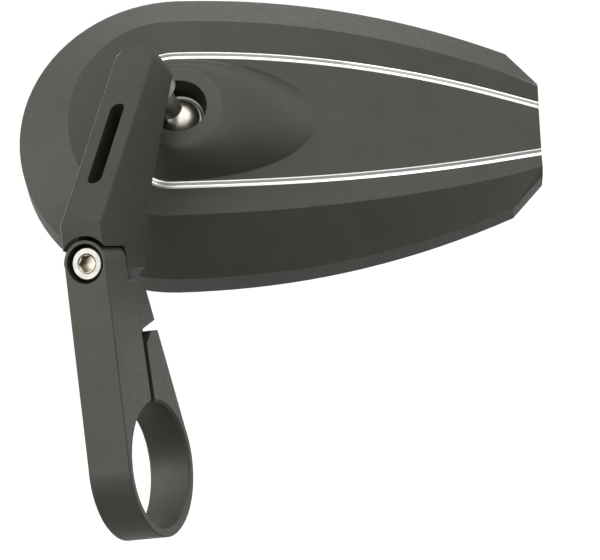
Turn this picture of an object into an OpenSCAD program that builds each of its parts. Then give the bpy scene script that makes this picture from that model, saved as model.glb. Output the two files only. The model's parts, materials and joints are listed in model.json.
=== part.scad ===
// Motorcycle bar end mirror.
// Origin at the centre of the clamp bore. X runs along the handlebar, Z up along the lower arm, and the
// elbow screw's head faces -Y.

/* [Clamp arm] */
// Diameter of the handlebar bore
bar_d = 32; // [22:0.5:38]
// Wall of the clamp ring
ring_wall = 2.3; // [2:0.1:4]
// Width of both arms along the handlebar
arm_w = 11.6; // [9.8:0.1:16]
// Height of the elbow pivot above the bore centre
pivot_z = 52; // [43:0.5:80]
// Lean of the tapered rear edge, in degrees
rear_lean = 20.5; // [15:0.5:23]
// Width of the clamp slit
slit_w = 2.1; // [1.5:0.1:2.6]
// Lean of the slit, in degrees
slit_lean = 3; // [0:0.5:5]
// Height of the jaw top above the bore wall
jaw_h = 18; // [15:0.5:20]
// Chamfer on the long edges
edge_cut = 0.3; // [0.2:0.1:1]
// Chamfer on the bore rims
bore_cut = 0.6; // [0.2:0.1:0.9]

/* [Elbow] */
// Depth of the front lug, from the front face to its back
lug_t = 11.3; // [10:0.1:14]
// Depth of the tongue behind the lug
tongue_t = 10; // [8:0.1:14]
// Thickness of the friction washer
washer_t = 0.4; // [0.3:0.1:1]
// Diameter of the friction washer
washer_d = 9.2; // [8:0.1:11]
// Gap between the lug's round and the upper arm's shoulder
shoulder_gap = 1.1; // [0.6:0.1:2]
// Distance from the pivot to the flat end of the tongue
tongue_end = 4.7; // [4:0.1:5.5]
// Corner cut at the end of the tongue
tongue_cut = 2.9; // [2.6:0.1:3.5]
// Gap between the end of the tongue and the lower arm's shoulder
heel_gap = 1.7; // [1.6:0.1:2.4]
// Depth of the screw head below the front face
head_recess = 1; // [0.5:0.1:2]

/* [Upper arm] */
// Height of the crease on the front face, above the pivot
crease_h = 10.1; // [9:0.1:16]
// Lean of the sloped front face, in degrees
front_lean = 43.5; // [40:0.5:48]
// Height of the rear kink, above the pivot
kink_h = 12.7; // [11:0.1:18]
// Lean of the rear edge below the kink, in degrees
low_lean = 18.6; // [12:0.5:24]
// Lean of the rear face above the kink, in degrees
rear_face_lean = 35; // [33:0.5:38]
// Lean of the round end's axis, in degrees
end_lean = 30; // [28:0.5:38]
// Distance along the rear face from the kink to the stud
stud_along = 42.8; // [36:0.5:52]
// Width of the slot in the sloped face
slot_w = 4; // [2:0.1:5]
// Length of the slot, end to end
slot_l = 29; // [10:0.5:33]
// Distance from the crease to the lower end of the slot
slot_start = 14; // [10:0.5:18]

/* [Screws] */
// Thread diameter of the two arm screws
screw_d = 5; // [4:0.5:5]
// Diameter of a socket head
head_d = 8.5; // [7:0.1:8.5]
// Height of a socket head
head_h = 5; // [3.5:0.1:5]
// Height of the low head of the clamp screw
low_head_h = 3.5; // [2.5:0.1:4]
// Width of the hexagon socket across its flats
hex_af = 4; // [2.5:0.5:5]
// Length of the elbow screw under its head
pivot_screw_l = 14; // [12:1:15]
// Length of the clamp screw under its head
clamp_screw_l = 16; // [14:1:18]
// How much wider the elbow's counterbore is than the screw head
counterbore_gap = 1.5; // [0.5:0.1:1.8]
// Radial clearance round a shank
shank_gap = 0.05; // [0.02:0.01:0.1]

/* [Ball stud] */
// Diameter of the ball
ball_d = 13; // [11:0.5:14]
// Diameter of the neck
neck_d = 6; // [4:0.5:6]
// Diameter of the flange on the arm
flange_d = 10.4; // [8:0.1:11]
// Thickness of the flange
flange_t = 3; // [2:0.1:3.2]
// Length of the cone from the flange to the neck
cone_l = 3; // [1:0.1:3.2]
// Distance from the arm's rear face to the ball centre
stud_reach = 17.9; // [17:0.1:22]
// Diameter of the stud's thread
stud_thread_d = 6; // [5:0.5:6]
// Length of the stud's thread in the arm
stud_thread_l = 8; // [6:0.5:9]

/* [Mirror head pose] */
// Lean of the head's back out of the horizontal, in degrees
head_pitch = 65.8; // [60:0.1:72]
// Tilt of the head's long axis, in degrees
head_tilt = 5.1; // [0:0.1:10]
// Turn of the head about the vertical, in degrees
head_yaw = 21.1; // [15:0.1:26]

/* [Mirror head] */
// Distance from the ball axis to the round end
head_left = 44.7; // [42:0.1:54]
// Distance from the ball axis to the truncated tip
head_right = 97.6; // [82:0.1:118]
// Half the greatest width
head_half = 43.3; // [40:0.1:52]
// Place of the greatest width, from the ball axis
head_widest = -1.4; // [-6:0.1:6]
// Power of the curve along both sides, 2 for a parabola
side_power = 2.1; // [1.9:0.05:2.4]
// Half the width of the flat tip
tip_half = 14.3; // [12:0.1:16]
// Length of the cut corners of the tip
tip_cut = 8.3; // [6:0.1:10]
// Half the width where the cut corners start
tip_shoulder = 24; // [21:0.1:27]
// Height of the side wall at the round end
wall_left_h = 8.9; // [7:0.1:10]
// Height of the side wall at the tip
wall_tip_h = 5.8; // [5:0.1:7]

/* [Ridge of the head] */
// Half the width of the ridge line
ridge_half = 29.9; // [28:0.1:32]
// Distance from the ball axis to the ridge's round end
ridge_left = 30.2; // [27:0.1:33]
// Place of the ridge's greatest width, from the ball axis
ridge_widest = -3.3; // [-6:0.1:2]
// Half the width of the ridge where the corners of the tip start
ridge_shoulder = 16; // [14:0.1:18]
// Half the width of the ridge at the tip
ridge_tip_half = 12.4; // [10:0.1:13]
// Height of the ridge beside the ball
ridge_h = 19.5; // [18.8:0.1:22]
// Height of the ridge at the tip
ridge_tip_h = 7.8; // [7.4:0.1:10]

/* [Centre panel] */
// Half the width of the panel at the ball, to the middle of its milled line
panel_half = 20; // [19.4:0.1:22]
// Distance from the ball axis to the panel's round end
panel_left = 17; // [16.6:0.1:20]
// Half the width of the panel at the tip
panel_tip_half = 7.2; // [5:0.1:9]
// Height of the panel beside the ball
panel_h = 17.8; // [17.3:0.1:18.6]
// Height of the panel at the tip
panel_tip_h = 6.4; // [6.2:0.1:7.4]
// Width of the milled line round the panel
line_w = 2; // [1:0.1:2.2]
// Depth of the milled line
line_depth = 0.6; // [0.3:0.1:1]

/* [Ball boss] */
// Height of the boss above the glass side
boss_h = 25.4; // [24.5:0.1:26.5]
// Radius of the flat ring on the boss
boss_r = 11.9; // [11:0.1:13]
// Half the width of the boss at its foot
boss_half = 18.6; // [16:0.1:18.8]
// Reach of the boss towards the round end
boss_left = 15.6; // [14:0.1:15.8]
// Length of the boss towards the tip
boss_tail = 37; // [30:0.5:44]
// How much wider the bore's mouth in the boss is than the ball
mouth_gap = 2.6; // [1.6:0.1:4]
// How much narrower the lip that holds the ball is than the ball
lip_catch = 0.7; // [0.3:0.1:1.2]
// Width of the bevel round the lip
lip_bevel = 0.4; // [0.3:0.1:0.9]
// Height of the ball centre above the glass side
ball_h = 15.7; // [15.2:0.1:16.4]

/* [Ball seat] */
// Thickness of the liner behind the ball
liner_t = 0.8; // [0.5:0.1:1]
// Running gap on the ball and on the liner
ball_gap = 0.05; // [0.03:0.01:0.1]
// Diameter of the pressure cup
cup_d = 22; // [20:0.5:24]
// Outer diameter of the disc springs
spring_d = 20; // [18:0.5:21]
// Sheet thickness of a disc spring
spring_t = 0.7; // [0.5:0.1:0.8]
// Height of one disc spring
spring_h = 1.2; // [1:0.1:1.4]
// Diameter of the retaining plate
plate_d = 35; // [33:0.5:38]
// Thickness of the retaining plate
plate_t = 1.4; // [1.2:0.1:1.6]
// Diameter of the ring of plate screws
plate_pcd = 29; // [28.5:0.1:30]
// Number of plate screws
plate_screws = 4; // [4:1:4]
// Thread diameter of the plate screws
plate_screw_d = 3; // [2.5:0.5:3]
// Length of the plate screws
plate_screw_l = 7; // [6:1:8]

/* [Glass] */
// Width of the housing's rim round the glass
rim_w = 1.6; // [1.2:0.1:2.5]
// Width of the rubber rim
gasket_w = 0.9; // [0.6:0.1:1.5]
// Thickness of the mirror glass
glass_t = 2; // [1.5:0.1:2.4]
// Radius of curvature of the convex glass
glass_curve = 1200; // [800:50:1800]
// Height of the glass's low side above the glass side, at the two ends of the head
glass_edge = 0.9; // [0.5:0.1:1]
// Depth of the glass recess
recess_h = 3.3; // [3.2:0.1:3.6]
// Wall left above the lightening pocket
skin = 4; // [3:0.1:6]

/* [Hidden] */
$fn = 96;

eps = 0.01;
far = 200;
bar_r = bar_d / 2;
ring_r = bar_r + ring_wall;
half_w = arm_w / 2;
// The arm's flat faces lie a little inside the ring's round, so that they cross it
face_r = ring_r - 0.08;
front_y = -face_r;
lug_back_y = front_y + lug_t;
tongue_front_y = lug_back_y + washer_t;
tongue_back_y = tongue_front_y + tongue_t;
tongue_end_z = pivot_z - tongue_end;
shoulder_z = tongue_end_z - heel_gap;
jaw_z = bar_r + jaw_h;

// Point of the tapered rear edge at a height
function rear_y(z) = (face_r - z * sin(rear_lean)) / cos(rear_lean);

// Corners of the upper arm's side profile, as [y, z]
crease = [front_y, pivot_z + crease_h];
tongue_heel = [tongue_back_y, pivot_z - 3];
kink_z = pivot_z + kink_h;
kink = [tongue_back_y + (kink_z - tongue_heel.y) * tan(low_lean), kink_z];
front_dir = [sin(front_lean), cos(front_lean)];
rear_dir = [sin(rear_face_lean), cos(rear_face_lean)];
stud_dir = [cos(rear_face_lean), -sin(rear_face_lean)];
stud_foot = kink + stud_along * rear_dir;
ball_centre = stud_foot + stud_reach * stud_dir;

ball_r = ball_d / 2;
neck_r = neck_d / 2;
lip_d = ball_d - lip_catch;
mouth_d = ball_d + mouth_gap;
counterbore_d = head_d + counterbore_gap;
liner_r = ball_r + ball_gap + liner_t;
cup_pocket_r = liner_r + ball_gap;
plate_low = recess_h + 0.1;
plate_high = plate_low + plate_t;
cup_low = plate_high + 2 * spring_h;
cup_high = ball_h - 2.2;
cup_bore_r = cup_d / 2 + 0.1;

// Clamp screw: its seat in the jaw and its height
clamp_screw_z = bar_r + 8.7;
clamp_seat_y = 4.6;

// Height of the lip's sharp edge
lip_z = ball_h + sqrt(pow(ball_r + 0.1, 2) - pow(lip_d / 2, 2)) + 0.3;

anodised = [0.2, 0.2, 0.18];
bare = [0.75, 0.74, 0.7];
steel = [0.6, 0.6, 0.6];

// An outline of [y, z] points, drawn out along X
module across(outline, width) {
    rotate([90, 0, 90])
        linear_extrude(width, center = true)
            polygon(outline);
}

// Places children at a point [y, z] with their Z axis along -Y
module facing_front(y, z) {
    translate([0, y, z])
        rotate([90, 0, 0])
            children();
}

// Places children at the stud's foot on the rear face, with Z to the rear at a lean,
// by default towards the ball
module on_stud(lean = rear_face_lean) {
    translate([0, stud_foot.x, stud_foot.y])
        rotate([-90 - lean, 0, 0])
            children();
}

// Places children on the sloped front face, with Y up the slope from the crease and Z out of it
module on_slope() {
    translate([0, crease.x, crease.y])
        rotate([90 - front_lean, 0, 0])
            children();
}

// Places children in the head's own frame: X to the tip, Z out of its back, 0 on the glass side
module in_head() {
    translate([0, ball_centre.x, ball_centre.y])
        rotate([head_pitch, head_tilt, head_yaw])
            translate([0, 0, -ball_h])
                children();
}

// A square bar turned on its edge, which cuts a chamfer along Z at the origin
module edge_cutter(length) {
    rotate([0, 0, 45])
        cube([edge_cut * sqrt(2), edge_cut * sqrt(2), length], center = true);
}

// Cuts both long edges of an arm, along a line of the side profile from one [y, z] point to another
module long_edges(from, to) {
    run = to - from;
    for (side = [-1, 1])
        translate([side * half_w, from.x, from.y])
            rotate([-atan2(run.x, run.y), 0, 0])
                translate([0, 0, norm(run) / 2])
                    edge_cutter(norm(run));
}

// Ring of the clamp with chamfered rims, its axis along X
module clamp_ring() {
    rotate([0, 90, 0])
        rotate_extrude()
            polygon([
                [bar_r - 1, -half_w],
                [ring_r - edge_cut, -half_w],
                [ring_r, edge_cut - half_w],
                [ring_r, half_w - edge_cut],
                [ring_r - edge_cut, half_w],
                [bar_r - 1, half_w]
            ]);
}

// Socket head screw along Z, its head above 0 and its shank below
module socket_screw(d, head, height, length, socket) {
    difference() {
        union() {
            cylinder(d = head, h = height - 0.4);
            translate([0, 0, height - 0.4])
                cylinder(d1 = head, d2 = head - 0.8, h = 0.4);
            translate([0, 0, -length + 0.5])
                cylinder(d = d, h = length - 0.5 + eps);
            translate([0, 0, -length])
                cylinder(d1 = d - 1, d2 = d, h = 0.5);
        }
        translate([0, 0, height - socket * 0.62])
            cylinder(d = socket / cos(30), h = socket, $fn = 6);
        translate([0, 0, height - 0.35])
            cylinder(d1 = socket / cos(30) - 0.2, d2 = socket / cos(30) + 0.6, h = 0.36);
    }
}

module clamp_arm() color(anodised)
    difference() {
        union() {
            clamp_ring();
            difference() {
                union() {
                    across([
                        [front_y, 0],
                        [front_y, pivot_z],
                        [lug_back_y, pivot_z],
                        [lug_back_y, shoulder_z],
                        [rear_y(shoulder_z), shoulder_z],
                        [face_r * cos(rear_lean), face_r * sin(rear_lean)],
                        [0, 0]
                    ], arm_w);
                    facing_front(lug_back_y, pivot_z)
                        cylinder(d = arm_w, h = lug_t);
                }
                long_edges([front_y, -1], [front_y, pivot_z]);
                long_edges([rear_y(0), 0], [rear_y(shoulder_z + 1), shoulder_z + 1]);
            }
        }
        rotate([0, 90, 0])
            cylinder(r = bar_r, h = far, center = true);
        for (side = [-1, 1])
            translate([side * (half_w - bore_cut), 0, 0])
                rotate([0, side * 90, 0])
                    cylinder(r1 = bar_r, r2 = bar_r + bore_cut + 1, h = bore_cut + 1);
        // slit, with the wedge of its mouth
        rotate([slit_lean, 0, 0])
            translate([-far / 2, -slit_w / 2, 0])
                cube([far, slit_w, jaw_z]);
        across([
            [-slit_w, jaw_z - 0.3],
            [-slit_w + 0.2, jaw_z + 0.6],
            [rear_y(jaw_z) + 2, jaw_z + 3.5],
            [rear_y(jaw_z) + 2, jaw_z],
            [slit_w + 0.6, jaw_z],
            [0, jaw_z - 2.8],
            [-slit_w, jaw_z - 2.8]
        ], far);
        // elbow counterbore and clearance hole
        facing_front(front_y + head_recess + head_h, pivot_z)
            cylinder(d = counterbore_d, h = far);
        facing_front(lug_back_y + 1, pivot_z)
            cylinder(d = screw_d + 2 * shank_gap, h = lug_t);
        // clamp screw: counterbore in the jaw, then its hole
        translate([0, clamp_seat_y, clamp_screw_z])
            rotate([-90, 0, 0])
                cylinder(d = head_d + 0.6, h = far);
        translate([0, clamp_seat_y - clamp_screw_l - 1, clamp_screw_z])
            rotate([-90, 0, 0])
                cylinder(d = screw_d + 2 * shank_gap, h = clamp_screw_l + 2);
    }

module clamp_screw() color(steel)
    translate([0, clamp_seat_y, clamp_screw_z])
        rotate([-90, 0, 0])
            socket_screw(screw_d, head_d, low_head_h, clamp_screw_l, hex_af);

module pivot_washer() color(steel)
    facing_front(tongue_front_y, pivot_z)
        difference() {
            cylinder(d = washer_d, h = washer_t);
            translate([0, 0, -1])
                cylinder(d = screw_d + 0.4, h = washer_t + 2);
        }

module upper_arm() color(anodised)
    difference() {
        across([
            [front_y, pivot_z],
            crease,
            crease + 80 * front_dir,
            stud_foot + (half_w + 4) * rear_dir,
            kink,
            tongue_heel,
            [tongue_back_y, tongue_end_z],
            [tongue_front_y, tongue_end_z],
            [tongue_front_y, pivot_z]
        ], arm_w);
        // shoulder round the lug
        facing_front(tongue_front_y, pivot_z)
            cylinder(r = half_w + shoulder_gap, h = far);
        // cut corners of the tongue
        for (side = [-1, 1])
            translate([side * half_w, 0, tongue_end_z])
                rotate([0, 45, 0])
                    cube([tongue_cut * sqrt(2), far, tongue_cut * sqrt(2)], center = true);
        // round end about the stud
        on_stud(end_lean)
            difference() {
                translate([-far / 2, -far, -far / 2])
                    cube([far, far, far]);
                cylinder(d = arm_w, h = far, center = true);
            }
        long_edges(crease, crease + 80 * front_dir);
        long_edges([front_y, pivot_z], crease);
        long_edges(kink, stud_foot);
        on_slope() {
            translate([-slot_w / 2, slot_start + slot_w / 2, -far / 2])
                cube([slot_w, slot_l - slot_w, far]);
            for (y = [slot_start + slot_w / 2, slot_start + slot_l - slot_w / 2])
                translate([0, y, 0])
                    cylinder(d = slot_w, h = far, center = true);
        }
        facing_front(tongue_back_y + 1, pivot_z)
            cylinder(d = screw_d + 2 * shank_gap, h = tongue_t + 2);
        on_stud()
            translate([0, 0, -stud_thread_l - 0.8])
                cylinder(d = stud_thread_d + 2 * shank_gap, h = stud_thread_l + 2);
    }

module pivot_screw() color(bare)
    facing_front(front_y + head_recess + head_h, pivot_z)
        socket_screw(screw_d, head_d, head_h, pivot_screw_l, hex_af);

// Ball, neck, cone, flange and thread, on one axis
module ball_stud() color(bare)
    on_stud()
        union() {
            translate([0, 0, stud_reach])
                sphere(r = ball_r);
            translate([0, 0, flange_t])
                cylinder(r = neck_r, h = stud_reach - flange_t);
            translate([0, 0, flange_t])
                cylinder(d1 = flange_d, d2 = neck_d, h = cone_l);
            translate([0, 0, ball_gap])
                cylinder(d = flange_d, h = flange_t - ball_gap + eps);
            translate([0, 0, -stud_thread_l])
                cylinder(d = stud_thread_d, h = stud_thread_l + 1);
        }

// Shell of a sphere about the ball centre, below a height over the glass side
module seat_shell(inner, outer, top) {
    translate([0, 0, ball_h])
        rotate_extrude()
            difference() {
                intersection() {
                    circle(r = outer);
                    translate([0, -2 * outer])
                        square([outer, 2 * outer + top - ball_h]);
                }
                circle(r = inner);
            }
}

module ball_liner() color("white")
    in_head()
        seat_shell(ball_r + ball_gap, liner_r, ball_h - 2.6);

module pressure_cup() color(steel)
    in_head()
        difference() {
            translate([0, 0, cup_low])
                cylinder(d = cup_d, h = cup_high - cup_low);
            translate([0, 0, ball_h])
                sphere(r = cup_pocket_r);
        }

// Conical spring washer, its outer rim down or up
module disc_spring(low, rim_down) {
    inner = spring_d / 4;
    outer = spring_d / 2;
    rise = spring_h - spring_t;
    in_z = rim_down ? rise : 0;
    out_z = rim_down ? 0 : rise;
    translate([0, 0, low])
        rotate_extrude()
            polygon([[inner, in_z], [outer, out_z], [outer, out_z + spring_t], [inner, in_z + spring_t]]);
}

module disc_spring_1() color(steel)
    in_head()
        disc_spring(plate_high, true);

module disc_spring_2() color(steel)
    in_head()
        disc_spring(plate_high + spring_h, false);

// Places children at one plate screw's hole, on the plate's low face
module at_plate_screw(number) {
    rotate([0, 0, 45 + number * 360 / plate_screws])
        translate([plate_pcd / 2, 0, plate_low])
            children();
}

// Countersunk head and shank, from a height at or below the low face upwards
module countersunk(gap, low, length) {
    shank_r = plate_screw_d / 2 + gap;
    cone_h = plate_screw_d / 2 - 0.3;
    rotate_extrude()
        polygon([
            [0, low],
            [shank_r + cone_h - low, low],
            [shank_r, cone_h],
            [shank_r, length],
            [0, length]
        ]);
}

module retaining_plate() color(steel)
    in_head()
        difference() {
            translate([0, 0, plate_low])
                cylinder(d = plate_d, h = plate_t);
            for (number = [0 : plate_screws - 1])
                at_plate_screw(number)
                    countersunk(shank_gap, -0.3, 10);
        }

module plate_screw(number) color(steel)
    in_head()
        at_plate_screw(number)
            difference() {
                countersunk(0, 0, plate_screw_l);
                translate([0, 0, -eps])
                    cylinder(d = 1.8 / cos(30), h = 1, $fn = 6);
            }

// Points of half a plan curve, from the tip to the round end: a point on the tip, a power curve that
// starts along X at the widest place, and a quarter ellipse
function half_plan(tip, shoulder, widest, half, left, arc_n = 18, end_n = 20) =
    concat(
        [tip],
        [for (i = [0 : arc_n])
            let (t = 1 - i / arc_n)
            [widest + (shoulder.x - widest) * t, half - (half - shoulder.y) * pow(t, side_power)]],
        [for (i = [1 : end_n]) let (a = 90 + 90 * i / end_n)
            [widest + (widest + left) * cos(a), half * sin(a)]]
    );

// The whole closed curve
function whole(half) =
    concat(half, [for (i = [len(half) - 2 : -1 : 0]) [half[i].x, -half[i].y]]);

// A closed curve moved inwards
function inset(p, d) =
    [for (i = [0 : len(p) - 1])
        let (
            n = len(p),
            a = p[(i + n - 1) % n],
            b = p[i],
            c = p[(i + 1) % n],
            u = (b - a) / norm(b - a),
            v = (c - b) / norm(c - b),
            nu = [-u.y, u.x],
            nv = [-v.y, v.x]
        )
        b + d * (nu + nv) / (1 + nu * nv)];

// Height along the head, level at the ball and falling ever faster to the tip
function crowned(x, at_ball, at_tip, power) =
    at_ball + (at_tip - at_ball) * pow(max(0, x) / head_right, power);
function wall_z(x) =
    wall_left_h + (wall_tip_h - wall_left_h) * pow(max(0, x + head_left) / (head_right + head_left), 1.5);
function ridge_z(x) = crowned(x, ridge_h, ridge_tip_h, 1.8);
function panel_z(x) = crowned(x, panel_h, panel_tip_h, 1.65);

tip_x = head_right;
outline = whole(half_plan(
    [tip_x, tip_half], [tip_x - tip_cut, tip_shoulder], head_widest, head_half, head_left
));
ridge_line = whole(half_plan([tip_x, ridge_tip_half], [tip_x - tip_cut - 1, ridge_shoulder], ridge_widest,
    ridge_half, ridge_left));
// Middle of the milled line round the centre panel, moved out
function panel_line(out) =
    whole(half_plan([tip_x, panel_tip_half + out], [tip_x - tip_cut, panel_tip_half + 2 + out],
        -1.9, panel_half + out, panel_left + out));

function at_z(curve, z) = [for (p = curve) [p.x, p.y, z]];

// Closed skin from the glass side up over the ridge and the milled line to the centre panel
module head_skin() {
    rings = [
        at_z(outline, 0),
        [for (p = outline) [p.x, p.y, wall_z(p.x)]],
        [for (p = ridge_line) [p.x, p.y, ridge_z(p.x)]],
        [for (p = panel_line(line_w / 2)) [p.x, p.y, panel_z(p.x)]],
        [for (p = panel_line(0)) [p.x, p.y, panel_z(p.x) - line_depth]],
        [for (p = panel_line(-line_w / 2)) [p.x, p.y, panel_z(p.x)]]
    ];
    n = len(outline);
    k = len(rings);
    last = n * (k - 1);
    sides = [for (r = [0 : k - 2], i = [0 : n - 2])
        each [[r * n + i, (r + 1) * n + i + 1, r * n + i + 1],
            [r * n + i, (r + 1) * n + i, (r + 1) * n + i + 1]]];
    strips = [for (base = [0, last], i = [0 : floor(n / 2) - 1])
        let (s = [base + i, base + i + 1, base + n - 2 - i, base + n - 1 - i])
        let (face = s[1] == s[2] ? [s[0], s[1], s[3]] : s)
        base == 0 ? face : [for (j = [len(face) - 1 : -1 : 0]) face[j]]];
    tip = concat([for (r = [0 : k - 1]) r * n + n - 1], [for (r = [k - 1 : -1 : 0]) r * n]);
    polyhedron([for (r = rings) each r], concat(sides, strips, [tip]), convexity = 6);
}

// Boss round the ball: a flat ring whose sides run out into the panel, long towards the tip
module boss_skin(n = 72, steps = 8, foot = 1.5, boss_sink = 0.06) {
    reach = [for (i = [0 : n - 1]) let (a = 360 * i / n)
        [cos(a) * (cos(a) > 0 ? boss_tail : boss_left), boss_half * sin(a)]];
    ring = [for (i = [0 : n - 1]) let (a = 360 * i / n) boss_r * [cos(a), sin(a)]];
    rows = [for (s = [0 : steps])
        let (t = s / steps)
        [for (i = [0 : n - 1])
            let (p = ring[i] + (reach[i] - ring[i]) * t, fall = pow(t, 1.7))
            [p.x, p.y, boss_h + (panel_z(reach[i].x) - boss_sink - boss_h) * fall]]];
    low = [for (p = reach) [p.x, p.y, panel_z(p.x) - foot]];
    points = concat([for (r = rows) each r], low);
    k = steps + 2;
    b = (k - 1) * n;
    sides = [for (r = [0 : k - 2], i = [0 : n - 1])
        each [[r * n + i, (r + 1) * n + (i + 1) % n, (r + 1) * n + i],
            [r * n + i, r * n + (i + 1) % n, (r + 1) * n + (i + 1) % n]]];
    top = [for (i = [n - 1 : -1 : 0]) i];
    bottom = [for (i = [1 : n / 2])
        let (s = [b + i - 1, b + i, b + n - i, b + (n - i + 1) % n])
        s[0] == s[3] ? [s[0], s[1], s[2]] : s[1] == s[2] ? [s[0], s[1], s[3]] : s];
    polyhedron(points, concat(sides, [top], bottom), convexity = 6);
}

module glass_recess() {
    translate([0, 0, -1])
        linear_extrude(recess_h + 1)
            polygon(inset(outline, rim_w));
}

// Pocket behind the glass that lightens the long end of the head
module lightening_pocket() {
    slope = atan((panel_h - panel_tip_h) / head_right);
    intersection() {
        translate([plate_d / 2 + 4, -far / 2, 0])
            cube([head_right - plate_d / 2 - 24, far, far]);
        linear_extrude(far)
            polygon(inset(outline, rim_w + 10));
        translate([0, 0, panel_h - skin])
            rotate([0, slope, 0])
                translate([-far / 2, -far / 2, -far])
                    cube([far * 1.5, far, far]);
    }
}

module mirror_housing() color(anodised)
    in_head()
        difference() {
            union() {
                head_skin();
                boss_skin();
            }
            glass_recess();
            lightening_pocket();
            translate([0, 0, 1])
                cylinder(d = plate_d + 0.4, h = plate_high - 1);
            translate([0, 0, 1])
                cylinder(r = cup_bore_r, h = cup_high - 0.6);
            translate([0, 0, ball_h])
                sphere(r = ball_r + 0.1);
            translate([0, 0, ball_h])
                cylinder(d = lip_d, h = far);
            translate([0, 0, lip_z])
                rotate_extrude()
                    polygon([
                        [0, 0],
                        [lip_d / 2, 0],
                        [lip_d / 2 + lip_bevel, lip_bevel],
                        [mouth_d / 2, boss_h - lip_z],
                        [mouth_d / 2, far],
                        [0, far]
                    ]);
            for (number = [0 : plate_screws - 1])
                at_plate_screw(number)
                    cylinder(d = plate_screw_d + 2 * shank_gap, h = plate_screw_l + 0.5);
        }

// How far the convex glass rises over a distance from its middle
function sag(r) = glass_curve - sqrt(glass_curve * glass_curve - r * r);
glass_low = glass_edge - sag((head_right + head_left) / 2);

// Region between two convex surfaces, which bulges out of the glass side at the middle of the glass
module lens(low_sag, high_sag, flat_top, rings = 12) {
    middle = (head_right - head_left) / 2;
    reach = (head_right + head_left) / 2 + 3;
    function bulge(r, base) = base + sag(r);
    low = [for (i = [0 : rings]) let (r = reach * i / rings) [r, bulge(r, low_sag)]];
    high = [
        for (i = [rings : -1 : 0])
            let (r = reach * i / rings)
            [r, flat_top > 0 ? flat_top : bulge(r, high_sag)]
    ];
    translate([middle, 0, 0])
        rotate_extrude()
            polygon(concat(low, high));
}

module mirror_glass() color([0.8, 0.85, 0.9])
    in_head()
        intersection() {
            translate([0, 0, -5])
                linear_extrude(15)
                    polygon(inset(outline, rim_w + gasket_w + 0.05));
            lens(glass_low, glass_low + glass_t, 0);
        }

module adhesive_pad() color("black")
    in_head()
        intersection() {
            translate([0, 0, -5])
                linear_extrude(15)
                    polygon(inset(outline, rim_w + gasket_w + 1.5));
            lens(glass_low + glass_t + 0.02, 0, recess_h - 0.02);
        }

module glass_gasket() color("black")
    in_head()
        translate([0, 0, 0.1])
            linear_extrude(recess_h - 0.15)
                difference() {
                    polygon(inset(outline, rim_w + 0.02));
                    polygon(inset(outline, rim_w + gasket_w));
                }

clamp_arm();
clamp_screw();
pivot_washer();
upper_arm();
pivot_screw();
ball_stud();
ball_liner();
mirror_housing();
pressure_cup();
disc_spring_1();
disc_spring_2();
retaining_plate();
plate_screw(0);  // plate_screw_1
plate_screw(1);  // plate_screw_2
plate_screw(2);  // plate_screw_3
plate_screw(3);  // plate_screw_4
adhesive_pad();
mirror_glass();
glass_gasket();
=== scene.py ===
"""Looks of the motorcycle bar end mirror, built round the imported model."""

import json
import math

import bpy
from mathutils import Matrix, Vector


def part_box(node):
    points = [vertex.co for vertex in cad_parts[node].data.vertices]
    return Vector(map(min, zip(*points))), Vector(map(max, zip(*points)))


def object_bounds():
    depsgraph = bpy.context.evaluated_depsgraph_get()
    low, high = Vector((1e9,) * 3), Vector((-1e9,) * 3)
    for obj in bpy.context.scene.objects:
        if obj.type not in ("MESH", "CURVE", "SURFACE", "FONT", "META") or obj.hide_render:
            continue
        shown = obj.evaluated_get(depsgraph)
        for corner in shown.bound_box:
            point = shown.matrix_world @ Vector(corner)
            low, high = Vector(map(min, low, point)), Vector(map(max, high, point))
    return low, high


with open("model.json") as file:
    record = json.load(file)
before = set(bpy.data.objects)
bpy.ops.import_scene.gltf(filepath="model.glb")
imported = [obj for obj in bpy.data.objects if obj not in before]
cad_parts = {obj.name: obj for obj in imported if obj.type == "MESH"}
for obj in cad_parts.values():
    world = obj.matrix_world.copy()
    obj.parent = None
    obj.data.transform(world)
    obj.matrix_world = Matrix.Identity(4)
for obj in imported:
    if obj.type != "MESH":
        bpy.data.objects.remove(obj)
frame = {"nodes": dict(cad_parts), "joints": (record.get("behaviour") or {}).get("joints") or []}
cad_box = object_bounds()
nodes = frame["nodes"]
MM = 0.001

# The head's own frame, as the CAD places it: its turn about X, Y and Z in degrees, and the ball's height
HEAD_TURN = (65.8, 5.1, 21.1)
BALL_HEIGHT = 15.7 * MM
TIP = 97.6 * MM

# The head's centre panel: its height at the ball and at the tip, how it falls, and the depth of its line
PANEL_AT_BALL = 17.8 * MM
PANEL_AT_TIP = 6.4 * MM
PANEL_FALL = 1.65
LINE_DEPTH = 0.6 * MM
LINE_REACH = 1.3 * MM

# Half the width of that panel, to the middle of its line: widest, how much it loses, from where to where
PANEL_WIDEST = 20 * MM
PANEL_TAPER = 10.8 * MM
TAPER_START = -1.9 * MM
TAPER_END = 89.3 * MM
TAPER_POWER = 2.1

# Slots of the housing's faces; the bore and the groove's lower side carry painted shade, the land
# painted light
MILLED, BORE, SHADED_GROOVE_SIDE, LAND, LIP = 1, 2, 3, 4, 5

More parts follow.
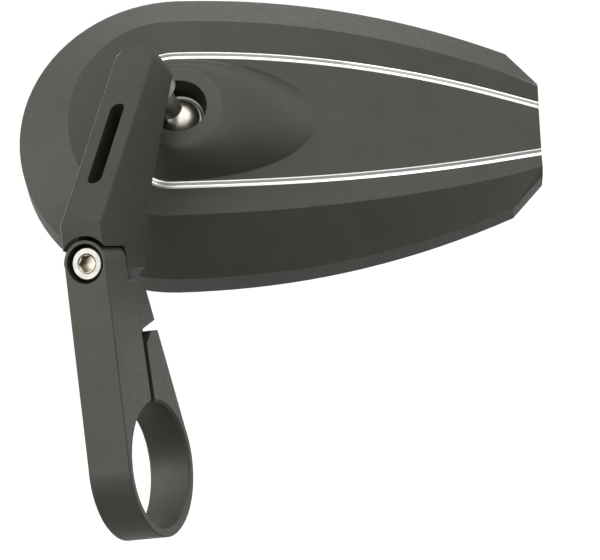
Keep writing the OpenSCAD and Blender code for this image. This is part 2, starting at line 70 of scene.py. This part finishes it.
# The darker and the lighter tone of each finish
HEAD_BLACK = ((0.0085, 0.0088, 0.0062), (0.0105, 0.0108, 0.0078))
LOWER_ARM_BLACK = ((0.0102, 0.0105, 0.0076), (0.0122, 0.0125, 0.0092))
UPPER_ARM_BLACK = ((0.0068, 0.007, 0.005), (0.0084, 0.0086, 0.0062))
# Painted light: the head's black made lighter and glossier on the flat land round the ball's bore
LAND_BLACK_PAINTED_LIGHT = ((0.0104, 0.0107, 0.008), (0.0124, 0.0127, 0.0098))
# Painted shade: the head's black made darker inside the ball's bore
BORE_PAINTED_SHADE = ((0.004, 0.004, 0.0035), (0.006, 0.006, 0.005))
BLUING = ((0.012, 0.012, 0.013), (0.03, 0.03, 0.03))
MILLED_ALUMINIUM = ((0.80, 0.79, 0.76), (0.9, 0.89, 0.87))
LIP_ALUMINIUM = ((0.42, 0.42, 0.40), (0.5, 0.5, 0.48))
BALL_STEEL = ((0.31, 0.30, 0.26), (0.37, 0.36, 0.315))
SCREW_STEEL = ((0.137, 0.133, 0.122), (0.165, 0.161, 0.149))
# Painted shade: darker, warmer steel inside the pivot screw's hexagon socket
SOCKET_STEEL_PAINTED_SHADE = ((0.13, 0.112, 0.085), (0.26, 0.235, 0.195))
ZINC = ((0.45, 0.46, 0.46), (0.6, 0.61, 0.6))
ACETAL = ((0.62, 0.6, 0.54), (0.7, 0.68, 0.62))
FOAM = ((0.012, 0.012, 0.012), (0.025, 0.025, 0.025))
RUBBER = ((0.012, 0.012, 0.012), (0.02, 0.02, 0.02))
SILVER = ((0.60, 0.64, 0.67), (0.63, 0.67, 0.70))
FLOOR_TONES = ((0.328, 0.328, 0.328), (0.338, 0.338, 0.338))

# Tones painted on the groove's downward-leaning side, from its rim to its bottom: a painted highlight at
# the rim, painted shade down the side, a painted highlight at the bottom
GROOVE_RIM_PAINTED_HIGHLIGHT = (0.75, 0.74, 0.72)
GROOVE_SIDE_PAINTED_SHADE = (0.19, 0.19, 0.185)
GROOVE_BOTTOM_PAINTED_HIGHLIGHT = (0.85, 0.84, 0.81)

# The upper arm's painted highlight, a lighter colour on its outer edges that face one way: its width,
# tone, the way it faces, and how far out it lies
PAINTED_EDGE_HIGHLIGHT = (0.34 * MM, (0.42, 0.42, 0.4), (-1.0, 0.0, 0.0), 4 * MM)

# Where a noise's values mostly lie
NOISE_LOW, NOISE_HIGH = 0.3, 0.7

# Widest angle that is shaded round, in degrees
HOUSING_ROUND = 17
ROUND = 24

# Camera: how the photograph looks at the part, and where the clamp bore lies in its frame
CAMERA_AZIMUTH = 22.486
CAMERA_ELEVATION = -1.675
CAMERA_ROLL = 6.82
CAMERA_DISTANCE = 0.670
BORE_LEFT_OF_CENTRE = 0.04007
BORE_BELOW_CENTRE = 0.04728
LENS = 158.8
SENSOR = 36.0

FLOOR_DROP = 0.16
FLOOR_SIZE = 40.0

# Radiance of the room's walls, its soft bright fields by azimuth, elevation and strength, and their fall
WALLS = 1.02
SOFT_FIELDS = [
    (-45, 8, 6.7),
    (0, 12, 1.2),
    (-90, 8, 1.0),
    (90, 8, 4.1),
    (0, 90, 0.9),
    (-45, 45, 3.1),
    (45, 45, 1.8),
    (135, 45, 0.8),
]
FIELD_FALL = 5.0


def joint(name):
    """A joint of the frame, by its name."""
    return next(j for j in frame["joints"] if j["name"] == name)


def head_matrix():
    """From the head's own frame, with Z out of its back and zero at its glass side, to the CAD's."""
    pitch, tilt, yaw = (math.radians(a) for a in HEAD_TURN)
    turn = (
        Matrix.Rotation(yaw, 4, "Z")
        @ Matrix.Rotation(tilt, 4, "Y")
        @ Matrix.Rotation(pitch, 4, "X")
    )
    ball = Matrix.Translation(joint("ball_roll")["pos_m"])
    return ball @ turn @ Matrix.Translation((0, 0, -BALL_HEIGHT))


HEAD = head_matrix()
TO_HEAD = HEAD.inverted()
SCREW_LOW, SCREW_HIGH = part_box("pivot_screw")
SCREW_MIDDLE = (SCREW_LOW + SCREW_HIGH) / 2


class Shader:
    """A material with one Principled shader, and short ways to put textures on its sockets."""

    def __init__(self, name, **sockets):
        self.material = bpy.data.materials.new(name)
        self.material.use_nodes = True
        self.tree = self.material.node_tree
        self.bsdf = self.tree.nodes["Principled BSDF"]
        for socket, value in sockets.items():
            self.bsdf.inputs[socket.replace("_", " ")].default_value = value
        self.coordinates = self.add("ShaderNodeTexCoord").outputs["Object"]

    def add(self, kind, **values):
        node = self.tree.nodes.new(kind)
        for key, value in values.items():
            setattr(node, key, value)
        return node

    def link(self, source, target):
        self.tree.links.new(source, target)

    def placed(self, matrix, stretch=(1, 1, 1)):
        """Object coordinates, seen from a frame given by its matrix and then stretched."""
        turn = self.add("ShaderNodeMapping", vector_type="POINT")
        inverse = matrix.inverted()
        turn.inputs["Location"].default_value = inverse.to_translation()
        turn.inputs["Rotation"].default_value = inverse.to_euler()
        self.link(self.coordinates, turn.inputs["Vector"])
        scale = self.add("ShaderNodeMapping")
        scale.inputs["Scale"].default_value = stretch
        self.link(turn.outputs["Vector"], scale.inputs["Vector"])
        return scale.outputs["Vector"]

    def chain(self, value, *steps):
        """Runs a value through sums, each given by its operation and its second number."""
        for operation, number in steps:
            node = self.add("ShaderNodeMath", operation=operation)
            node.inputs[1].default_value = number
            self.link(value, node.inputs[0])
            value = node.outputs["Value"]
        return value

    def noise(self, size, detail=3.0, vector=None):
        """Noise whose grains are about that size, in metres."""
        node = self.add("ShaderNodeTexNoise")
        node.inputs["Scale"].default_value = 1 / size
        node.inputs["Detail"].default_value = detail
        self.link(vector or self.coordinates, node.inputs["Vector"])
        return node.outputs["Fac"]

    def spread(self, value, low, high, start=NOISE_LOW, end=NOISE_HIGH):
        """Maps a range of a texture, or else its middle, to the values from low to high."""
        node = self.add("ShaderNodeMapRange")
        node.inputs["From Min"].default_value = start
        node.inputs["From Max"].default_value = end
        node.inputs["To Min"].default_value = low
        node.inputs["To Max"].default_value = high
        self.link(value, node.inputs["Value"])
        return node.outputs["Result"]

    def colours(self, value, stops):
        """A colour ramp over a texture: (place, colour) for each stop."""
        node = self.add("ShaderNodeValToRGB")
        ramp = node.color_ramp
        while len(ramp.elements) < len(stops):
            ramp.elements.new(0.5)
        for element, (place, colour) in zip(ramp.elements, stops):
            element.position = place
            element.color = (*colour, 1)
        self.link(value, node.inputs["Fac"])
        self.link(node.outputs["Color"], self.bsdf.inputs["Base Color"])

    def mottle(self, size, tones, detail=3.0, low=NOISE_LOW, high=NOISE_HIGH):
        """Base colour from noise of a size, between a darker and a lighter tone."""
        self.colours(self.noise(size, detail), [(low, tones[0]), (high, tones[1])])

    def dot(self, first, second):
        """Scalar product of a vector socket and a second socket or fixed vector."""
        node = self.add("ShaderNodeVectorMath", operation="DOT_PRODUCT")
        self.link(first, node.inputs[0])
        if isinstance(second, tuple):
            node.inputs[1].default_value = second
        else:
            self.link(second, node.inputs[1])
        return node.outputs["Value"]

    def times(self, first, second):
        """Product of two values."""
        node = self.add("ShaderNodeMath", operation="MULTIPLY")
        self.link(first, node.inputs[0])
        self.link(second, node.inputs[1])
        return node.outputs["Value"]

    def paint_edge_highlight(self, radius, tone, facing, reach):
        """Painted highlight: lighter base colour on the outermost edges in one direction, from a reach
        in metres on.
        """
        bevel = self.add("ShaderNodeBevel", samples=8)
        bevel.inputs["Radius"].default_value = radius
        rounded = bevel.outputs["Normal"]
        face = self.add("ShaderNodeNewGeometry").outputs["True Normal"]
        edge = self.spread(self.dot(rounded, face), 1.0, 0.0, start=0.93, end=0.99)
        side = self.spread(self.dot(rounded, facing), 0.0, 1.0, start=0.4, end=0.55)
        place = self.dot(self.coordinates, facing)
        outside = self.spread(place, 0.0, 1.0, start=reach, end=1.2 * reach)
        mix = self.add("ShaderNodeMix", data_type="RGBA")
        first, second = (socket for socket in mix.inputs if socket.type == "RGBA")
        mixed = next(socket for socket in mix.outputs if socket.type == "RGBA")
        colour = self.bsdf.inputs["Base Color"]
        self.link(colour.links[0].from_socket, first)
        second.default_value = (*tone, 1)
        self.link(self.times(self.times(edge, side), outside), mix.inputs["Factor"])
        self.link(mixed, colour)

    def rough(self, size, low, high, detail=3.0):
        """Roughness that varies between two values with noise of a size."""
        self.link(self.spread(self.noise(size, detail), low, high), self.bsdf.inputs["Roughness"])

    def bumps(self, heights, edge=0.0):
        """Bumps from (texture, depth in metres), one after the other, over edges rounded by a radius."""
        normal = None
        if edge:
            bevel = self.add("ShaderNodeBevel", samples=4)
            bevel.inputs["Radius"].default_value = edge
            normal = bevel.outputs["Normal"]
        for value, depth in heights:
            node = self.add("ShaderNodeBump")
            node.inputs["Strength"].default_value = 1
            node.inputs["Distance"].default_value = depth
            self.link(value, node.inputs["Height"])
            if normal:
                self.link(normal, node.inputs["Normal"])
            normal = node.outputs["Normal"]
        self.link(normal, self.bsdf.inputs["Normal"])


def anodised(name, tones, rough=(0.45, 0.55), shine=0.2, edge_highlight=None):
    """Black anodised aluminium, blasted with fine beads before the bath."""
    shader = Shader(name, Specular_IOR_Level=shine, Specular_Tint=(1.0, 1.0, 0.92, 1))
    shader.mottle(9 * MM, tones, detail=5, low=0.35, high=0.65)
    # A painted highlight on the edges that face one way, where one is given
    if edge_highlight:
        shader.paint_edge_highlight(*edge_highlight)
    shader.rough(1.4 * MM, *rough, detail=4)
    beads = shader.noise(0.16 * MM, detail=1.5)
    shader.bumps([(beads, 0.006 * MM)], edge=0.12 * MM)
    return shader.material


def bare_aluminium(name, tones):
    """Fresh cutter marks through the anodising."""
    shader = Shader(name, Metallic=1.0)
    shader.mottle(1.5 * MM, tones)
    shader.rough(0.7 * MM, 0.3, 0.4)
    return shader.material


def groove_painted_shade_aluminium():
    """The V groove's downward-leaning side: painted shade down it, with painted highlights at its rim
    and at its bottom.
    """
    shader = Shader("milled_aluminium_painted_shade", Metallic=1.0)
    place = shader.add("ShaderNodeSeparateXYZ")
    shader.link(shader.placed(HEAD), place.inputs["Vector"])
    height = shader.chain(
        place.outputs["X"],
        ("DIVIDE", TIP),
        ("MAXIMUM", 0.0),
        ("POWER", PANEL_FALL),
        ("MULTIPLY", PANEL_AT_TIP - PANEL_AT_BALL),
        ("ADD", PANEL_AT_BALL),
    )
    below = shader.add("ShaderNodeMath", operation="SUBTRACT")
    shader.link(height, below.inputs[0])
    shader.link(place.outputs["Z"], below.inputs[1])
    depth = shader.chain(below.outputs["Value"], ("DIVIDE", LINE_DEPTH))
    shader.colours(
        depth,
        [(0.14, GROOVE_RIM_PAINTED_HIGHLIGHT), (0.3, GROOVE_SIDE_PAINTED_SHADE), (0.85, GROOVE_SIDE_PAINTED_SHADE), (0.97, GROOVE_BOTTOM_PAINTED_HIGHLIGHT)],
    )
    shader.rough(0.7 * MM, 0.3, 0.4)
    return shader.material


def turned_steel(name, axis_frame, tones, rough):
    """Steel turned on a lathe: fine rings round the Z axis of a frame."""
    shader = Shader(name, Metallic=1.0)
    along_axis = shader.placed(axis_frame, stretch=(0.05, 0.05, 1))
    shader.mottle(2.5 * MM, tones)
    shader.rough(1.1 * MM, *rough, detail=4)
    rings = shader.noise(0.10 * MM, detail=2, vector=along_axis)
    shader.bumps([(rings, 0.0012 * MM)], edge=0.06 * MM)
    return shader.material


def zinc_plated():
    """Pressed steel with a plain zinc coat."""
    shader = Shader("zinc_plated_steel", Metallic=1.0)
    shader.mottle(4 * MM, ZINC, detail=5)
    shader.rough(0.9 * MM, 0.28, 0.45)
    shader.bumps([(shader.noise(0.3 * MM), 0.004 * MM)], edge=0.08 * MM)
    return shader.material


def blackened_steel():
    """Oil-blackened screw steel."""
    shader = Shader("blackened_steel", Specular_IOR_Level=0.6)
    shader.mottle(1.6 * MM, BLUING, detail=4)
    shader.rough(0.8 * MM, 0.3, 0.5)
    shader.bumps([(shader.noise(0.15 * MM), 0.003 * MM)], edge=0.08 * MM)
    return shader.material


def moulded(name, tones, rough):
    """Moulded plastic, rubber or foam, by its tones and roughness."""
    shader = Shader(name)
    shader.mottle(3 * MM, tones, detail=4)
    shader.rough(1.2 * MM, *rough)
    shader.bumps([(shader.noise(0.4 * MM), 0.004 * MM)])
    return shader.material


def mirror_glass():
    """Silvered glass with a clear coat."""
    shader = Shader("silvered_glass", Metallic=1.0, Coat_Weight=0.5, Coat_Roughness=0.02)
    shader.mottle(30 * MM, SILVER)
    shader.rough(12 * MM, 0.015, 0.03)
    return shader.material


def dress(name, *materials):
    """Puts materials in a CAD node's slots."""
    data = nodes[name].data
    data.materials.clear()
    for material in materials:
        data.materials.append(material)


def smooth(name, angle):
    """Shades a CAD node round where its facets meet at less than an angle, and sharp elsewhere."""
    piece = nodes[name]
    for polygon in piece.data.polygons:
        polygon.use_smooth = True
    weld = piece.modifiers.new("weld", "WELD")
    weld.merge_threshold = 0.0005 * MM
    split = piece.modifiers.new("split", "EDGE_SPLIT")
    split.split_angle = math.radians(angle)
    normals = piece.modifiers.new("normals", "WEIGHTED_NORMAL")
    normals.keep_sharp = True


def paint_faces(name, test, slot):
    """Gives a CAD node's faces the material of a slot where a test of the centre and normal says so."""
    data = nodes[name].data
    for polygon in data.polygons:
        if test(polygon.center, polygon.normal):
            polygon.material_index = slot


def panel_height(x):
    """Height of the head's centre panel along its length."""
    return PANEL_AT_BALL + (PANEL_AT_TIP - PANEL_AT_BALL) * (max(0, x) / TIP) ** PANEL_FALL


def panel_half_width(x):
    """Half the panel's width beside the ball and towards the tip, to the middle of its milled line."""
    along = max(0, x - TAPER_START) / (TAPER_END - TAPER_START)
    return PANEL_WIDEST - PANEL_TAPER * along ** TAPER_POWER


def in_head(centre, normal):
    """A face's centre in the head's own frame, its distance from the ball's axis, and its lean."""
    place = TO_HEAD @ centre
    lean = math.degrees(HEAD.col[2].to_3d().angle(normal))
    return place, math.hypot(place.x, place.y), lean


def round_ball(centre, normal, radii, heights, leans):
    """Whether a face lies round the ball's axis within limits of radius, height over it and lean."""
    place, radius, lean = in_head(centre, normal)
    height = place.z - BALL_HEIGHT
    return (
        radii[0] * MM < radius < radii[1] * MM
        and heights[0] * MM < height < heights[1] * MM
        and leans[0] <= lean < leans[1]
    )


def in_milled_line(centre, normal):
    """Whether a face of the housing lies in the V groove round the panel."""
    place, _, lean = in_head(centre, normal)
    below = panel_height(place.x) - place.z
    off_line = abs(abs(place.y) - panel_half_width(place.x))
    near_line = abs(place.y) < 22 * MM and (off_line < LINE_REACH or place.x < 0)
    return 0.12 * MM < below < 0.5 * MM and 22 < lean < 42 and near_line


def in_shaded_groove_side(centre, normal):
    """Whether a face lies in the V groove and leans towards the head's lower side, where shade is
    painted.
    """
    return in_milled_line(centre, normal) and (TO_HEAD.to_3x3() @ normal).y < 0


def on_lip(centre, normal):
    """Whether a face of the housing is the bare bevel that holds the ball."""
    return round_ball(centre, normal, radii=(6.0, 6.9), heights=(2.6, 3.4), leans=(30, 60))


def on_land(centre, normal):
    """Whether a face of the housing is the flat land round the ball's bore."""
    return round_ball(centre, normal, radii=(7.7, 11.9), heights=(9.3, 11), leans=(0, 6))


def in_bore(centre, normal):
    """Whether a face of the housing is the wall of the ball's bore."""
    return round_ball(centre, normal, radii=(0, 7.79), heights=(3.2, 9.6), leans=(45, 180))


def in_socket(centre, normal):
    """Whether a face of the elbow's screw lies inside its hexagon."""
    from_axis = math.hypot(centre.x - SCREW_MIDDLE.x, centre.z - SCREW_MIDDLE.z)
    return 0.1 * MM < centre.y - SCREW_LOW.y < 3 * MM and from_axis < 2.4 * MM


def dress_housing():
    """The housing's finishes: black, bare where it was milled, painted shade in the bore and on the
    groove's lower side, painted light on the land round the bore.
    """
    dress(
        "mirror_housing",
        anodised("black_anodising_head", HEAD_BLACK),
        bare_aluminium("milled_aluminium", MILLED_ALUMINIUM),
        anodised("black_anodising_bore_painted_shade", BORE_PAINTED_SHADE, rough=(0.35, 0.45)),
        groove_painted_shade_aluminium(),
        anodised("black_anodising_land_painted_light", LAND_BLACK_PAINTED_LIGHT, shine=0.23),
        bare_aluminium("lip_aluminium", LIP_ALUMINIUM),
    )
    # Painted light on the flat land round the ball's bore
    paint_faces("mirror_housing", on_land, LAND)
    paint_faces("mirror_housing", in_milled_line, MILLED)
    # Painted shade, with painted highlights at rim and bottom, on the groove's downward-leaning side
    paint_faces("mirror_housing", in_shaded_groove_side, SHADED_GROOVE_SIDE)
    paint_faces("mirror_housing", on_lip, LIP)
    # Painted shade inside the ball's bore
    paint_faces("mirror_housing", in_bore, BORE)


def dress_bare_steel():
    """The turned steel of the stud and of the elbow's screw, each about its own axis."""
    stud_turn = Vector(joint("ball_swivel")["axis"]).to_track_quat("Z", "Y").to_matrix().to_4x4()
    stud_frame = Matrix.Translation(joint("ball_roll")["pos_m"]) @ stud_turn
    screw_frame = Matrix.Translation(SCREW_MIDDLE) @ Matrix.Rotation(math.radians(90), 4, "X")
    dress("ball_stud", turned_steel("polished_stud_steel", stud_frame, BALL_STEEL, (0.3, 0.4)))
    dress(
        "pivot_screw",
        turned_steel("stainless_screw_steel", screw_frame, SCREW_STEEL, (0.25, 0.36)),
        turned_steel("stainless_socket_steel_painted_shade", screw_frame, SOCKET_STEEL_PAINTED_SHADE, (0.3, 0.45)),
    )
    # Painted shade inside the pivot screw's hexagon socket
    paint_faces("pivot_screw", in_socket, 1)


def finish_surfaces():
    """Every node's material and shading."""
    dress("clamp_arm", anodised("black_anodising_lower_arm", LOWER_ARM_BLACK, shine=0.21))
    # The upper arm gets a painted highlight on its outer edges that face left
    upper = anodised("black_anodising_upper_arm", UPPER_ARM_BLACK, shine=0.16, edge_highlight=PAINTED_EDGE_HIGHLIGHT)
    dress("upper_arm", upper)
    dress_housing()
    dress_bare_steel()
    black_steel = blackened_steel()
    for name in ("clamp_screw", "plate_screw_1", "plate_screw_2", "plate_screw_3", "plate_screw_4"):
        dress(name, black_steel)
    zinc = zinc_plated()
    for name in ("pivot_washer", "pressure_cup", "disc_spring_1", "disc_spring_2", "retaining_plate"):
        dress(name, zinc)
    dress("ball_liner", moulded("natural_acetal", ACETAL, (0.35, 0.5)))
    dress("adhesive_pad", moulded("foam_tape", FOAM, (0.8, 0.95)))
    dress("glass_gasket", moulded("black_rubber", RUBBER, (0.55, 0.75)))
    dress("mirror_glass", mirror_glass())
    for name in nodes:
        smooth(name, HOUSING_ROUND if name == "mirror_housing" else ROUND)


def room_direction(azimuth, elevation):
    """A direction in the room: azimuth 0 points to the camera's side, and 90 to the picture's right."""
    turn, rise = math.radians(azimuth + CAMERA_AZIMUTH), math.radians(elevation)
    return Vector((math.sin(turn) * math.cos(rise), -math.cos(turn) * math.cos(rise), math.sin(rise)))


def add_camera():
    """The photograph's view, rolled as the photograph is."""
    azimuth, roll = math.radians(CAMERA_AZIMUTH), math.radians(CAMERA_ROLL)
    back = room_direction(0, CAMERA_ELEVATION)
    level_right = Vector((math.cos(azimuth), math.sin(azimuth), 0))
    level_up = back.cross(level_right)
    right = math.cos(roll) * level_right - math.sin(roll) * level_up
    up = math.sin(roll) * level_right + math.cos(roll) * level_up
    data = bpy.data.cameras.new("camera")
    data.lens = LENS
    data.sensor_width = SENSOR
    data.clip_start, data.clip_end = 0.01, 50
    camera = bpy.data.objects.new("camera", data)
    bpy.context.scene.collection.objects.link(camera)
    axes = Matrix((right, up, back)).transposed()
    place = BORE_LEFT_OF_CENTRE * right + BORE_BELOW_CENTRE * up + CAMERA_DISTANCE * back
    camera.matrix_world = Matrix.Translation(place) @ axes.to_4x4()
    bpy.context.scene.camera = camera


def add_floor():
    """A plain pale floor under the part."""
    half = FLOOR_SIZE / 2
    level = cad_box[0].z - FLOOR_DROP
    data = bpy.data.meshes.new("floor")
    corners = [(x * half, y * half, level) for x, y in ((-1, -1), (1, -1), (1, 1), (-1, 1))]
    data.from_pydata(corners, [], [(0, 1, 2, 3)])
    floor = bpy.data.objects.new("floor", data)
    bpy.context.scene.collection.objects.link(floor)
    shader = Shader("pale_floor", Specular_IOR_Level=0.0)
    shader.mottle(0.4, FLOOR_TONES, detail=2)
    shader.rough(0.1, 0.85, 0.95)
    data.materials.append(shader.material)


def add_world():
    """A white room with soft bright fields on its walls and ceiling."""
    world = bpy.data.worlds.new("studio")
    bpy.context.scene.world = world
    world.use_nodes = True
    tree = world.node_tree
    background = tree.nodes["Background"]
    background.inputs["Color"].default_value = (1.0, 1.0, 1.0, 1)
    look = tree.nodes.new("ShaderNodeTexCoord").outputs["Generated"]
    total = None
    for azimuth, elevation, strength in SOFT_FIELDS:
        value = tree.nodes.new("ShaderNodeVectorMath")
        value.operation = "DOT_PRODUCT"
        value.inputs[1].default_value = room_direction(azimuth, elevation)
        tree.links.new(look, value.inputs[0])
        last = value.outputs["Value"]
        for operation, number in (("MAXIMUM", 0.0), ("POWER", FIELD_FALL), ("MULTIPLY", strength)):
            step = tree.nodes.new("ShaderNodeMath")
            step.operation = operation
            step.inputs[1].default_value = number
            tree.links.new(last, step.inputs[0])
            last = step.outputs["Value"]
        step = tree.nodes.new("ShaderNodeMath")
        step.inputs[1].default_value = WALLS
        tree.links.new(last, step.inputs[0])
        if total:
            tree.links.new(total, step.inputs[1])
        total = step.outputs["Value"]
    tree.links.new(total, background.inputs["Strength"])


def add_studio():
    """Camera, room, floor and the view settings."""
    add_camera()
    add_world()
    add_floor()
    scene = bpy.context.scene
    scene.view_settings.view_transform = "Standard"
    scene.view_settings.look = "None"


finish_surfaces()
add_studio()
